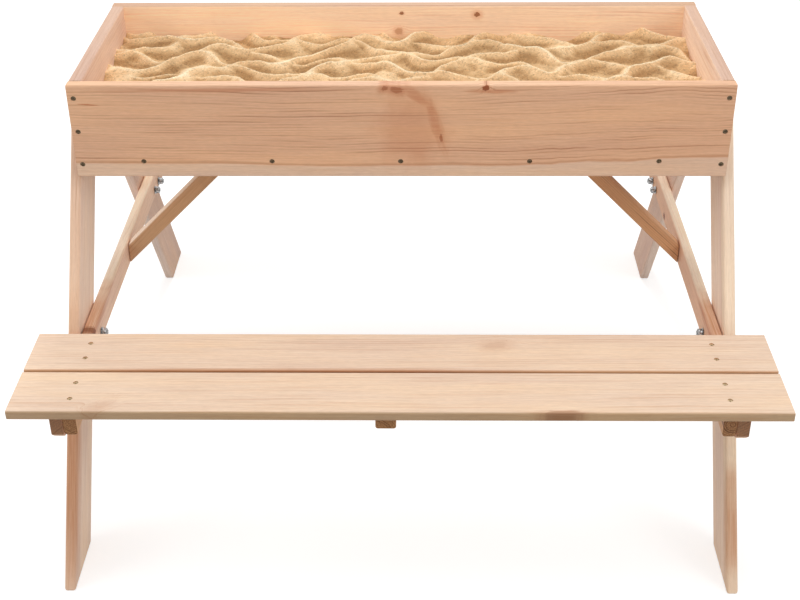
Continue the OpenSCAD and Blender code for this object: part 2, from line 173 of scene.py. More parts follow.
def make_spruce_group():
    """Grain of planed spruce in a board's own millimetres: x along it, y across it, z through it."""
    tree = new_group("planed spruce grain", "ShaderNodeTree",
                     {"Place": "Vector", "Facing": "Vector", "Board": "Float", "Pith": "Vector",
                      "Ring Width": "Float", "Waviness": "Float", "Contrast": "Float",
                      "Sapwood From": "Float", "Painted Face Shade": "Color", "Edge Tint": "Color",
                      "Bend": "Float", "Core": "Float", "Stain": "Float", "Early Wood": "Color",
                      "Late Wood": "Color", "Sapwood": "Color", "Stained Wood": "Color",
                      "Knot Wood": "Color"},
                     {"Color": "Color", "Roughness": "Float", "Height": "Float"})
    given = add(tree, "NodeGroupInput").outputs
    place = given["Place"]
    # The rings wander slowly along the board and a little faster across it
    slow = add(tree, "ShaderNodeVectorMath", {0: place, 1: (0.0028, 0.011, 0.011)}, operation="MULTIPLY")
    wander = add(tree, "ShaderNodeTexNoise",
                 {"Vector": slow, "W": given["Board"], "Scale": 1, "Detail": 3, "Roughness": 0.45},
                 noise_dimensions="4D")
    sway = add(tree, "ShaderNodeMath", {0: wander, 1: 0.5}, operation="SUBTRACT")
    from_pith = add(tree, "ShaderNodeVectorMath", {0: place, 1: given["Pith"]}, operation="SUBTRACT")
    upright = add(tree, "ShaderNodeVectorMath", {0: from_pith, 1: (0, 1, 1)}, operation="MULTIPLY")
    radius = add(tree, "ShaderNodeVectorMath", {0: upright}, operation="LENGTH").outputs["Value"]
    swayed = add(tree, "ShaderNodeMath", {0: sway, 1: given["Waviness"], 2: radius}, operation="MULTIPLY_ADD")
    bent = add(tree, "ShaderNodeMath", {0: swayed, 1: given["Bend"]}, operation="ADD")
    rings = add(tree, "ShaderNodeMath", {0: bent, 1: given["Ring Width"]}, operation="DIVIDE")
    phase = add(tree, "ShaderNodeMath", {0: rings}, operation="FRACT")
    number = add(tree, "ShaderNodeMath", {0: rings}, operation="FLOOR")
    # A year's ring stands out here and fades there along the board, and few years stand out strongly
    spread = add(tree, "ShaderNodeMath", {0: number, 1: 1.37, 2: given["Board"]}, operation="MULTIPLY_ADD")
    slid = add(tree, "ShaderNodeSeparateXYZ", {0: slow})
    year_place = add(tree, "ShaderNodeCombineXYZ", {0: slid, 1: spread})
    strength = add(tree, "ShaderNodeTexNoise", {"Vector": year_place, "Scale": 2.2, "Detail": 1},
                   noise_dimensions="2D")
    # Pale early wood darkens slowly into late wood, and the next spring starts at once
    late = set_ramp(add(tree, "ShaderNodeValToRGB", {"Fac": phase}),
                    ((0, 0.1), (0.12, 0), (0.55, 0.2), (0.86, 1), (0.94, 1), (1, 0.1)))
    year_share = add(tree, "ShaderNodeMapRange", {0: strength, 1: 0.45, 2: 0.75, 3: 0.16, 4: 1},
                     interpolation_type="SMOOTHSTEP")
    line = add(tree, "ShaderNodeMath", {0: late, 1: year_share}, operation="MULTIPLY")

    # Fibres 1 to 2 mm across and 70 mm long; real ones are finer than the picture can show
    stretched = add(tree, "ShaderNodeVectorMath", {0: place, 1: (0.014, 0.6, 0.6)}, operation="MULTIPLY")
    fibre = add(tree, "ShaderNodeTexNoise", {"Vector": stretched, "Scale": 1, "Detail": 3, "Roughness": 0.6})
    broad = add(tree, "ShaderNodeVectorMath", {0: place, 1: (0.0035, 0.03, 0.03)}, operation="MULTIPLY")
    patch = add(tree, "ShaderNodeTexNoise",
                {"Vector": broad, "W": given["Board"], "Scale": 1, "Detail": 2}, noise_dimensions="4D")
    # The rings stand out in some places and hardly show in others
    clear = add(tree, "ShaderNodeMapRange", {0: patch, 1: 0.35, 2: 0.65, 3: 1.3, 4: 0.45})
    clarity = add(tree, "ShaderNodeMath", {0: clear, 1: given["Contrast"]}, operation="MULTIPLY")
    shown = add(tree, "ShaderNodeMath", {0: line, 1: clarity}, operation="MULTIPLY")

    heart = add(tree, "ShaderNodeMix", {0: shown, 6: given["Early Wood"], 7: given["Late Wood"]},
                data_type="RGBA")
    sap_end = add(tree, "ShaderNodeMath", {0: given["Sapwood From"], 1: 3}, operation="ADD")
    sap_mask = add(tree, "ShaderNodeMapRange", {0: bent, 1: given["Sapwood From"], 2: sap_end, 3: 0, 4: 0.8},
                   interpolation_type="SMOOTHSTEP")
    wood = add(tree, "ShaderNodeMix", {0: sap_mask, 6: heart.outputs[2], 7: given["Sapwood"]},
               data_type="RGBA")
    # A dark line marks where the heartwood ends
    off_line = add(tree, "ShaderNodeMath", {0: bent, 1: given["Sapwood From"]}, operation="SUBTRACT")
    off_edge = add(tree, "ShaderNodeMath", {0: off_line}, operation="ABSOLUTE")
    edge_line = add(tree, "ShaderNodeMapRange", {0: off_edge, 1: 1.8, 2: 0.3, 3: 0, 4: 0.5})
    lined = add(tree, "ShaderNodeMix", {0: edge_line, 6: wood.outputs[2], 7: given["Late Wood"]},
                data_type="RGBA")
    # Dark fibres are browner than the wood between them
    fibre_tone = set_ramp(add(tree, "ShaderNodeValToRGB", {"Fac": fibre}),
                          ((0.25, (0.93, 0.88, 0.83, 1)), (0.75, (1.06, 1.09, 1.12, 1))))
    # Short flecks, 10 mm long, where the planer has cut across the fibres
    short = add(tree, "ShaderNodeVectorMath", {0: place, 1: (0.1, 0.9, 0.9)}, operation="MULTIPLY")
    fleck = add(tree, "ShaderNodeTexNoise", {"Vector": short, "Scale": 1, "Detail": 1})
    fleck_tone = add(tree, "ShaderNodeMapRange", {0: fleck, 1: 0.3, 2: 0.7, 3: 0.95, 4: 1.04})
    surface = add(tree, "ShaderNodeVectorMath", {0: fibre_tone, "Scale": fleck_tone}, operation="SCALE")
    tinted = add(tree, "ShaderNodeVectorMath", {0: lined.outputs[2], 1: surface}, operation="MULTIPLY")
    # Broad patches drift between a cooler pink and a warmer gold
    drift = set_ramp(add(tree, "ShaderNodeValToRGB", {"Fac": patch}),
                     ((0.3, (0.93, 0.92, 0.95, 1)), (0.5, (1, 1, 1, 1)), (0.7, (1.06, 1.04, 0.98, 1))))
    toned = add(tree, "ShaderNodeVectorMath", {0: tinted, 1: drift}, operation="MULTIPLY")
    # Stains run in streaks along the fibres
    streak = add(tree, "ShaderNodeMapRange", {0: fibre, 1: 0.3, 2: 0.6, 3: 0.45, 4: 1})
    stain = add(tree, "ShaderNodeMath", {0: given["Stain"], 1: streak}, operation="MULTIPLY")
    stained = add(tree, "ShaderNodeMix", {0: stain, 6: toned, 7: given["Stained Wood"]}, data_type="RGBA")
    knotty = add(tree, "ShaderNodeMix", {0: given["Core"], 6: stained.outputs[2], 7: given["Knot Wood"]},
                 data_type="RGBA")
    # Sawn ends drink the light: darker and browner, with their rings as arcs, and darkened further as painted
    # shade for the ends that lie in shade under the benches
    facing = add(tree, "ShaderNodeSeparateXYZ", {0: given["Facing"]}).outputs
    endward, sideward = (add(tree, "ShaderNodeMath", {0: facing[way]}, operation="ABSOLUTE") for way in "XY")
    end_mask = add(tree, "ShaderNodeMapRange", {0: endward, 1: 0.7, 2: 0.95, 3: 0, 4: 1})
    pores = add(tree, "ShaderNodeMapRange", {0: fibre, 1: 0.35, 2: 0.65, 3: 0.55, 4: 1.05})
    end_ring = add(tree, "ShaderNodeMath", {0: line, 1: -0.35, 2: pores}, operation="MULTIPLY_ADD")
    end_grain_and_shade = add(tree, "ShaderNodeVectorMath", {0: (0.57, 0.46, 0.36), "Scale": end_ring},
                   operation="SCALE")
    end_wood = add(tree, "ShaderNodeVectorMath", {0: knotty.outputs[2], 1: end_grain_and_shade}, operation="MULTIPLY")
    # The wide faces take one tint and the narrow ones another: painted shade, which makes one side of a board
    # darker than another as the light falls on it
    edge_mask = add(tree, "ShaderNodeMapRange", {0: sideward, 1: 0.25, 2: 0.85, 3: 0, 4: 1})
    tint = add(tree, "ShaderNodeMix", {0: edge_mask, 6: given["Painted Face Shade"], 7: given["Edge Tint"]},
               data_type="RGBA")
    faced = add(tree, "ShaderNodeVectorMath", {0: knotty.outputs[2], 1: tint.outputs[2]},
                operation="MULTIPLY")
    final = add(tree, "ShaderNodeMix", {0: end_mask, 6: faced, 7: end_wood}, data_type="RGBA")

    dull = add(tree, "ShaderNodeMapRange", {0: line, 1: 0, 2: 1, 3: 0.66, 4: 0.5})
    rough = add(tree, "ShaderNodeMath", {0: end_mask, 1: 0.2, 2: dull}, operation="MULTIPLY_ADD")
    ridge = add(tree, "ShaderNodeMath", {0: line, 1: 0.3, 2: fibre}, operation="MULTIPLY_ADD")
    add(tree, "NodeGroupOutput", {"Color": final.outputs[2], "Roughness": rough, "Height": ridge})
    return tree


KNOT = make_knot_group()
SPRUCE = make_spruce_group()


def spruce(name, number, middle, turn, tones, pith=(30, -60), ring=4, wavy=16, contrast=0.9,
           sapwood=9999, skew=0, face_tint="#FFFFFF", edge_tint="#FFFFFF", knots=()):
    """Planed spruce for one board. turn holds the board's length, width and thickness directions as rows.

    tones are the early wood, late wood, sapwood, stain and knot colours. A knot or stain is a tuple of its
    x and y on the board in millimetres, size, stretch, angle in degrees, core, stain, the stain's reach in
    sizes and how far the rings swing round it, also in sizes.
    """
    # Satin where the planer left late wood proud, duller on the soft early wood and dull on sawn ends
    material, tree, shader = new_material("planed spruce, " + name)
    grain_turn = Matrix.Rotation(math.radians(skew), 3, "Z") @ turn
    where = add(tree, "ShaderNodeTexCoord")
    place = add(tree, "ShaderNodeMapping",
                {"Vector": where.outputs["Object"], "Scale": (1000, 1000, 1000),
                 "Rotation": grain_turn.to_euler(), "Location": grain_turn @ middle * -1000})
    facing = add(tree, "ShaderNodeMapping", {"Vector": where.outputs["Normal"], "Rotation": turn.to_euler()})
    masks = {}
    for x, y, size, stretch, angle, core, stain, reach, swing in knots:
        spot = {"Place": place, "Centre": (x, y, 0), "Size": size, "Stretch": stretch,
                "Angle": math.radians(-angle), "Core": core, "Stain": stain, "Reach": reach, "Swing": swing}
        spot.update({label + " So Far": mask for label, mask in masks.items()})
        masks = add(tree, "ShaderNodeGroup", spot, node_tree=KNOT).outputs
    early, late, sap, stained, knot = (colour(code) for code in tones)
    grain = add(tree, "ShaderNodeGroup",
                {"Place": place, "Facing": facing, "Board": number * 3.7, "Pith": (0, *pith),
                 "Ring Width": ring, "Waviness": wavy, "Contrast": contrast, "Sapwood From": sapwood,
                 "Painted Face Shade": colour(face_tint), "Edge Tint": colour(edge_tint), "Early Wood": early,
                 "Late Wood": late, "Sapwood": sap, "Stained Wood": stained, "Knot Wood": knot,
                 **dict(masks.items())}, node_tree=SPRUCE)
    bump = add(tree, "ShaderNodeBump",
               {"Height": grain.outputs["Height"], "Strength": 0.5, "Distance": 0.4 * MM})
    feed(tree, shader, {"Base Color": grain.outputs["Color"], "Roughness": grain.outputs["Roughness"],
                        "Normal": bump, "Specular IOR Level": 0.35})
    return material


# Tones of the boards: early wood, late wood, sapwood, stain and knot
PALE = ("#F2D7BE", "#DDB08A", "#F4E0C4", "#C48B63", "#966042")
PINK = ("#FAE0CB", "#E0B494", "#F6DEC2", "#CC8A5C", "#9A5434")
GREY = ("#F2DACA", "#D8B49C", "#F6E6D2", "#C89468", "#966040")
FRONT = ("#F6CAA8", "#BE8662", "#F2D8C4", "#C87240", "#98522E")
# The back panel's tones are paler partly in its own wood and partly as painted light, standing for the light
# the sand throws on its inner face
BACK = ("#FFE2C4", "#EEB68E", "#FBEAD0", "#DC945F", "#965E3E")
GOLD = ("#FFE7D0", "#DFB492", "#F2D4AE", "#B07C50", "#7A4C2C")
BROWN = ("#C99C71", "#9C6A40", "#CDAD88", "#8C5A3A", "#66402A")
RUST = ("#DCA67A", "#84502E", "#E0BC92", "#8C5A3A", "#66402A")
# BEAM is paler than the beams' wood: painted light for their tops, which the tray shades from above, while
# their face tint darkens their sides again
BEAM = ("#FFEAD2", "#E6BE9A", "#FFF0D8", "#BE7A4A", "#7E4426")
OCHRE = ("#EBBD90", "#9C6A40", "#E0BC92", "#8C5A3A", "#66402A")


# Boards

# Radians between two faces past which the edge of a sawn end is broken
SHARP_CORNER = 0.7

# Points this near a board's lowest, highest or rearmost point lie in one face with it, in metres
IN_ONE_FACE = 1e-5

# The share of a fastener's length that is searched for its wider end
END_SHARE = 0.2

# Sides of a turned screw and of the hole that its head has cut
SCREW_SIDES = 20


def turn_of(along, across):
    """A board's length, width and thickness directions as the rows of a matrix."""
    return Matrix((along, across, along.cross(across)))


def prism(outline, depth, through):
    """Solid whose outline, a ring of points, is drawn out by depth in the direction through."""
    bm = bmesh.new()
    ends = [[bm.verts.new(p + through * (side * depth / 2)) for p in outline] for side in (-1, 1)]
    bm.faces.new(ends[0])
    bm.faces.new(ends[1])
    for k in range(len(outline)):
        m = (k + 1) % len(outline)
        bm.faces.new((ends[0][k], ends[0][m], ends[1][m], ends[1][k]))
    bmesh.ops.recalc_face_normals(bm, faces=bm.faces)
    return bm


def ease(bm, along, rounding, end=END_EASE):
    """Round the long edges of a board, by millimetres, then just break the edges of its sawn ends."""
    def runs_along(edge):
        a, b = (v.co for v in edge.verts)
        return abs((b - a).normalized().dot(along)) > 0.99
    bmesh.ops.bevel(bm, geom=[e for e in bm.edges if runs_along(e)], offset=rounding * MM, segments=5,
                    profile=0.5, affect="EDGES", clamp_overlap=True)
    sharp = [e for e in bm.edges if e.calc_face_angle(0) > SHARP_CORNER and not runs_along(e)]
    bmesh.ops.bevel(bm, geom=sharp, offset=end, segments=2, profile=0.5, affect="EDGES",
                    clamp_overlap=True)


def solids(node):
    """The separate solids of a CAD node, each as an array of its points."""
    bm = bmesh.new()
    bm.from_mesh(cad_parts[node].data)
    bmesh.ops.remove_doubles(bm, verts=bm.verts, dist=1e-6)
    seen = set()
    found = []
    for first in bm.verts:
        front = [] if first in seen else [first]
        solid = []
        seen.add(first)
        while front:
            vertex = front.pop()
            solid.append(tuple(vertex.co))
            fresh = [v for v in (e.other_vert(vertex) for e in vertex.link_edges) if v not in seen]
            seen.update(fresh)
            front.extend(fresh)
        if solid:
            found.append(np.array(solid))
    bm.free()
    return found


def fastener_places(node, long=True):
    """Where each fastener of a CAD node starts, its direction and its length along that direction.

    A screw or bolt lies along its longest side and starts at its wider end, its head. A washer or nut
    lies along its shortest side, away from the legs.
    """
    places = []
    for points in solids(node):
        low, high = points.min(axis=0), points.max(axis=0)
        size = high - low
        axis = int(np.argmax(size) if long else np.argmin(size))
        middle = (low + high) / 2
        others = [k for k in range(3) if k != axis]
        reach = np.linalg.norm((points - middle)[:, others], axis=1)
        at_low = points[:, axis] < low[axis] + size[axis] * END_SHARE
        at_high = points[:, axis] > high[axis] - size[axis] * END_SHARE
        forward = reach[at_low].max() > reach[at_high].max() if long else middle[0] < 0
        start = middle.copy()
        start[axis] = low[axis] if forward else high[axis]
        direction = np.zeros(3)
        direction[axis] = 1 if forward else -1
        places.append((Vector(start), Vector(direction), float(size[axis])))
    return places


SCREW_NODES = ("front_panel_screws", "back_panel_screws", "floor_screws", "front_bench_screws",
               "rear_bench_screws", "bench_batten_screws", "cleat_screws", "brace_screws")
SCREWS = {node: fastener_places(node) for node in SCREW_NODES}

# Radius and depth of a screw's hole, in millimetres, from above the wood to its bottom. The screws of the
# tray's panels have torn its mouth open, and the others have left it neat.
TORN = ((0, -0.6), (3.35, -0.6), (3.2, 1.2), (3.1, 1.7), (3.05, 2.8), (1.8, 4.1), (0, 4.1))
NEAT = ((0, -0.6), (3.2, -0.6), (3.05, 1.2), (3.05, 1.7), (3.05, 2.8), (1.8, 4.1), (0, 4.1))
HEAD_SINK = 1.2


def turned(bm, profile, start, direction, sides):
    """Add a solid turned from a profile of radii and depths in millimetres, beginning at start."""
    spin = direction.to_track_quat("Z", "Y").to_matrix()
    rings = []
    for radius, depth in profile:
        count = 1 if radius == 0 else sides
        angles = [2 * math.pi * k / sides for k in range(count)]
        points = [Vector((radius * math.cos(a), radius * math.sin(a), depth)) * MM for a in angles]
        rings.append([bm.verts.new(start + spin @ p) for p in points])
    for lower, upper in zip(rings, rings[1:]):
        for k in range(sides):
            m = (k + 1) % sides
            corners = (lower[k % len(lower)], lower[m % len(lower)],
                       upper[m % len(upper)], upper[k % len(upper)])
            bm.faces.new(tuple(dict.fromkeys(corners)))


def in_scene(name, data):
    """Put a mesh, a lamp or a camera in the scene as an object of its own."""
    thing = bpy.data.objects.new(name, data)
    bpy.context.scene.collection.objects.link(thing)
    return thing


def mesh_of(name, bm):
    """Turn a solid into a mesh whose faces point outwards."""
    bmesh.ops.recalc_face_normals(bm, faces=bm.faces)
    mesh = bpy.data.meshes.new(name)
    bm.to_mesh(mesh)
    bm.free()
    return mesh


def shade(mesh, angle=SMOOTH_BELOW):
    """Shade a mesh smooth and leave the edges past an angle sharp."""
    mesh.shade_smooth()
    mesh.set_sharp_from_angle(angle=angle)


def new_piece(name, mesh, material):
    """Put a mesh in the scene as a piece of one material."""
    piece = in_scene(name, mesh)
    mesh.materials.clear()
    mesh.materials.append(material)
    return piece


def settle(piece, node):
    """Let a finished piece ride on the table and stand for its CAD node."""
    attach(piece, "root")
    if node:
        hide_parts(node)


def bake(piece):
    """Turn a piece's modifiers into its plain mesh."""
    evaluated = piece.evaluated_get(bpy.context.evaluated_depsgraph_get())
    mesh = bpy.data.meshes.new_from_object(evaluated)
    piece.modifiers.clear()
    piece.data = mesh


def timber(node, bm, middle, turn, tones, grain):
    """Make a board's piece: give it its spruce and cut the holes of the screws whose heads lie in it."""
    number = list(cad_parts).index(node)
    material = spruce(node.replace("_", " "), number, middle, turn, tones, **grain)
    low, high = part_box(node)
    piece = new_piece(node + "_timber", mesh_of(node + "_timber", bm), material)
    heads = [(start, way, TORN if "panel" in screws else NEAT)
             for screws, places in SCREWS.items() for start, way, _ in places
             if all(low[k] - MM < start[k] < high[k] + MM for k in range(3))]
    if heads:
        holes = bmesh.new()
        for start, way, profile in heads:
            turned(holes, profile, start - way * HEAD_SINK * MM, way, SCREW_SIDES)
        cutter = in_scene("countersinks", mesh_of("countersinks", holes))
        boolean = piece.modifiers.new("countersinks", "BOOLEAN")
        boolean.operation = "DIFFERENCE"
        boolean.solver = "EXACT"
        boolean.object = cutter
        bake(piece)
        bpy.data.objects.remove(cutter)
    shade(piece.data)
    weigh = piece.modifiers.new("even shading", "WEIGHTED_NORMAL")
    weigh.keep_sharp = True
    bake(piece)
    settle(piece, node)


def straight_board(node, along, across, slot_name, tones, rounding=2.2, **grain):
    """Board whose sides lie along the axes, from its CAD node's box."""
    low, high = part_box(node)
    middle = (low + high) / 2
    size = high - low
    through = along.cross(across)
    length, width, depth = (sum(abs(d[k]) * size[k] for k in range(3)) for d in (along, across, through))
    outline = [middle + along * (a * length / 2) + across * (b * width / 2)
               for a, b in ((-1, -1), (1, -1), (1, 1), (-1, 1))]
    bm = prism(outline, depth, through)
    ease(bm, along, rounding)
    timber(node, bm, middle, turn_of(along, across), tones, grain)


def beam_board(node, tones, **grain):
    """Seat beam with the lower corners of its ends sawn off, from its CAD node's box."""
    low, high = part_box(node)
    middle = (low + high) / 2
    corners = [(low.y, high.z), (low.y, low.z + BEAM_BEVEL), (low.y + BEAM_BEVEL, low.z),
               (high.y - BEAM_BEVEL, low.z), (high.y, low.z + BEAM_BEVEL), (high.y, high.z)]
    bm = prism([Vector((middle.x, y, z)) for y, z in corners], high.x - low.x - BEAM_GAP, X)
    ease(bm, Y, rounding=4)
    timber(node, bm, middle, turn_of(Y, Z), tones, grain)


def leg_board(node, tones, **grain):
    """Leg leaning inwards, with its level foot and top, from its CAD node's corners."""
    points = np.concatenate(solids(node))
    low, high = points.min(axis=0), points.max(axis=0)
    x = (low[0] + high[0]) / 2
    foot = points[points[:, 2] < low[2] + IN_ONE_FACE]
    top = points[points[:, 2] > high[2] - IN_ONE_FACE]
    corners = [(foot[:, 1].min(), low[2]), (foot[:, 1].max(), low[2]),
               (top[:, 1].max(), high[2]), (top[:, 1].min(), high[2])]
    outline = [Vector((x, y, z)) for y, z in corners]
    along = (outline[2] - outline[1]).normalized()
    across = X.cross(along)
    bm = prism(outline, high[0] - low[0], X)
    ease(bm, along, rounding=3, end=2 * MM)
    middle = sum(outline, Vector()) / 4
    timber(node, bm, middle, turn_of(along, across), tones, grain)


def brace_board(node, tones, **grain):
    """Brace with upright ends, from the outline that its CAD node shows on its sides.

    Its width lies along Y, so that the painted edge shade darkens its front and back and the top stays pale,
    as if lit from above.
    """
    points = np.concatenate(solids(node))
    low, high = points.min(axis=0), points.max(axis=0)
    side = points[points[:, 1] > high[1] - IN_ONE_FACE]
    corners = np.unique(side[:, [0, 2]].round(6), axis=0)
    centre = corners.mean(axis=0)
    order = np.argsort(np.arctan2(corners[:, 1] - centre[1], corners[:, 0] - centre[0]))
    ring = [Vector((centre[0] + (x - centre[0]) * BRACE_SHARE, 0, z)) for x, z in corners[order]]
    edges = [b - a for a, b in zip(ring, ring[1:] + ring[:1])]
    along = max(edges, key=lambda e: e.length).normalized()
    bm = prism(ring, high[1] - low[1], Y)
    ease(bm, along, rounding=2.5)
    middle = Vector((centre[0], 0, centre[1]))
    timber(node, bm, middle, turn_of(along, Y), tones, grain)


# Each knot: x and y on the board in mm, size, stretch, angle, core, stain, reach and swing
FRONT_KNOTS = (
    # A ragged knot at the top edge and a round one to its right
    (-19, 57, 3, 1.4, 30, 0.5, 0.75, 3.4, 1.0), (-5, 54.5, 4, 2, -10, 0.45, 0.75, 3.2, 1.0),
    (103, 58, 3.6, 1.25, 0, 0.9, 0.8, 1.6, 1.2),
    # A red streak that curves down from the first to a dark tick
    (20, 46, 6, 3.2, -35, 0, 0.6, 2.2, 0), (42, 13, 6, 4.4, -72, 0, 0.65, 2.2, 0),
    (50, -8, 2, 3, -80, 0.5, 0.8, 1.5, 0),
    # Stained years and patches
    (14, 5, 34, 1.3, 90, 0, 0.35, 1.7, 0), (-236, 53, 2.5, 50, 1, 0, 0.5, 1.4, 0),
    (110, 54, 3, 10, 0, 0, 0.6, 1.3, 0), (-380, 33, 1.3, 11, -3, 0, 0.9, 1.2, 0),
    # A wide faint one lifts the sapwood's edge at the right
    (415, -61, 110, 1, 0, 0, 0.1, 3, 0.13))
# Each board's face and edge tints are painted shade that darkens one side of it against another as the light
# falls
straight_board("front_panel", X, Z, "spruce", FRONT, pith=(150, -60), ring=3.4, wavy=24, contrast=0.75,
               sapwood=205, skew=0.45, face_tint="#F2ECE6", edge_tint="#F5F3EE", knots=FRONT_KNOTS)
straight_board("back_panel", X, Z, "spruce", BACK, pith=(120, -70), ring=3.4, wavy=18, contrast=0.6,
               edge_tint="#D0C0B8",
               knots=((-2, 50, 2.5, 1.3, 0, 0.9, 0.6, 2, 1), (103, 48, 3.5, 1.2, 0, 0.9, 0.7, 3, 1),
                      (-6, 24, 5, 1.2, 0, 0.3, 0.7, 2, 1)))
for node, pith, face_shades in (("left_end_panel", (-90, -80), {"face_tint": "#F2ECEC"}),
                          ("right_end_panel", (90, 80), {})):
    straight_board(node, Y, Z, "spruce", PINK, pith=pith, contrast=0.6, edge_tint="#D8CAC4", **face_shades)
for number in range(1, 6):
    straight_board("floor_batten_%d" % number, Y, Z, "spruce_warm", BROWN, pith=(25 - 9 * number, -30),
                   ring=3)
BENCH_PLANKS = {
    "front_bench_inner_plank": {
        "pith": (90, -40), "ring": 4.2, "wavy": 18, "contrast": 0.55, "edge_tint": "#DCBFA4",
        "knots": ((117, 14, 8, 1.8, 10, 0.05, 0.35, 2.4, 1.6), (-120, -39, 2.5, 110, 0, 0, 0.7, 1.3, 0))},
    "front_bench_outer_plank": {
        "pith": (-120, -70), "ring": 5, "wavy": 22, "contrast": 0.55, "edge_tint": "#CABEAA",
        "knots": ((186, -40, 4, 6, 0, 0.35, 0.7, 1.8, 1), (-345, -32, 7, 2, 40, 0, 0.3, 2.2, 3))},
    "rear_bench_inner_plank": {
        "pith": (-60, -50), "ring": 4.4, "wavy": 20, "contrast": 0.5, "edge_tint": "#DCBFA4",
        "knots": ((-210, 12, 5, 1.4, 0, 0.9, 0.6, 2.2, 1.2),)},
    "rear_bench_outer_plank": {
        "pith": (115, -60), "ring": 4.8, "wavy": 22, "contrast": 0.5, "edge_tint": "#CDAE92",
        "sapwood": 140, "knots": ((260, -22, 5, 1.3, 0, 0.9, 0.6, 2.2, 1.2),)}}
for node, grain in BENCH_PLANKS.items():
    straight_board(node, X, Y, "spruce_pale", PALE, rounding=3, **grain)
# Painted shade on both ends of a seat beam, which lie in shade under the bench planks
BEAM_END_SHADE = ((-420, 0, 22, 1.5, 0, 0, 0.72, 1.5, 0), (420, 0, 22, 1.5, 0, 0, 0.72, 1.5, 0))
beam_board("left_seat_beam", BEAM, pith=(-50, 40), ring=3.6, contrast=0.7, face_tint="#FAE9E4",
           knots=((-236, 14, 7, 1.2, 0, 0.8, 0.8, 2, 1.2), (-232, 18, 12, 8, 0, 0, 0.8, 1.4, 0), *BEAM_END_SHADE))
beam_board("right_seat_beam", BEAM, pith=(50, -40), ring=3.6, contrast=0.7, face_tint="#EDD0C2",
           knots=((120, -8, 5, 1.2, 0, 0.8, 0.6, 2, 1.2), (-215, 18, 10, 7, 0, 0, 0.75, 1.4, 0), *BEAM_END_SHADE))
CLEATS = ("front_left_cleat", "front_right_cleat", "rear_left_cleat", "rear_right_cleat")
for number, node in enumerate(CLEATS):
    straight_board(node, Y, Z, "spruce_warm", OCHRE, rounding=4, pith=(8 - 5 * number, 10 - 7 * number),
                   ring=2.6, wavy=6, contrast=1)
for node, pith in (("front_bench_batten", (-14, 16)), ("rear_bench_batten", (12, 20))):
    straight_board(node, Y, X, "spruce_warm", OCHRE, rounding=3, pith=pith, ring=2.8, wavy=6, contrast=1.2)
# The long stain low on each front leg's front edge is painted shade, where the bench shades the leg below it
leg_board("front_left_leg", PINK, pith=(60, -30), contrast=0.7, edge_tint="#F2E6DA",
          knots=((-140, 38, 16, 9, 0, 0, 0.75, 1.6, 0),))
leg_board("front_right_leg", PINK, pith=(-70, 25), contrast=0.7, sapwood=98,
          knots=((-245, 38, 14, 5, 0, 0, 0.75, 1.4, 0),))
for node, pith in (("rear_left_leg", (40, 50)), ("rear_right_leg", (-45, -40))):
    leg_board(node, GREY, pith=pith, contrast=0.6, face_tint="#F4E8E0")
brace_board("left_brace", GOLD, pith=(35, 45), ring=3, edge_tint="#D2B79B")
brace_board("right_brace", RUST, pith=(-30, 42), ring=2.6, contrast=1.6)


# Plywood

def plywood():
    """Sanded plywood: wide soft bands of the peeled face veneer, without rings of its own."""
    material, tree, shader = new_material("sanded birch plywood")
    where = add(tree, "ShaderNodeTexCoord")
    # The veneer's figure is 20 to 60 mm wide and runs the length of the sheet
    figure = add(tree, "ShaderNodeMapping", {"Vector": where.outputs["Object"], "Scale": (3, 30, 30)})
    bands = add(tree, "ShaderNodeTexNoise", {"Vector": figure, "Scale": 1, "Detail": 4, "Distortion": 1.2})
    tones = set_ramp(add(tree, "ShaderNodeValToRGB", {"Fac": bands}),
                     ((0.3, colour("#C9A878")), (0.7, colour("#E6CDA2"))))
    fine = add(tree, "ShaderNodeMapping", {"Vector": where.outputs["Object"], "Scale": (30, 900, 900)})
    fibres = add(tree, "ShaderNodeTexNoise", {"Vector": fine, "Scale": 1, "Detail": 2})
    bump = add(tree, "ShaderNodeBump", {"Height": fibres, "Strength": 0.3, "Distance": 0.2 * MM})
    rough = add(tree, "ShaderNodeMapRange", {0: fibres, 3: 0.55, 4: 0.75})
    feed(tree, shader, {"Base Color": tones, "Roughness": rough, "Normal": bump})
    return material


floor_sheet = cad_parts["tray_floor"].data
floor_sheet.materials.clear()
floor_sheet.materials.append(plywood())


# Zinc-plated steel

def plated_steel(name, dark, light, smoothest):
    """Plated steel: a metal mottled by its plating and by painted dark and light reflections, dulled where it
    has been handled and driven home.
    """
    material, tree, shader = new_material(name)
    where = add(tree, "ShaderNodeTexCoord").outputs["Object"]
    # The mottle, 1 to 3 mm across, is partly the plating and partly painted reflection
    mottle = add(tree, "ShaderNodeTexNoise", {"Vector": where, "Scale": 500, "Detail": 3})
    tones = set_ramp(add(tree, "ShaderNodeValToRGB", {"Fac": mottle}),
                     ((0.3, colour(dark)), (0.7, colour(light))))
    rough = add(tree, "ShaderNodeMapRange", {0: mottle, 3: 0.55, 4: smoothest})
    bump = add(tree, "ShaderNodeBump", {"Height": mottle, "Strength": 0.15, "Distance": 0.1 * MM})
    feed(tree, shader, {"Base Color": tones, "Roughness": rough, "Normal": bump, "Metallic": 1})
    return material


# Zinc plating is a cool grey. All the screws are yellow-passivated: those of the tray's panels take a darker,
# browner copy of it as painted shade, and the others a paler copy as painted light.
# The zinc's mottle runs from near black to near white: mostly painted reflection of dark and light
# surroundings
ZINC = plated_steel("zinc-plated steel", "#44423E", "#DCDEE0", 0.25)
SHADED_SCREW_STEEL = plated_steel("passivated steel in painted shade", "#40362A", "#84745E", 0.42)
LIT_SCREW_STEEL = plated_steel("passivated steel in painted light", "#C0AC88", "#F0E2C4", 0.5)


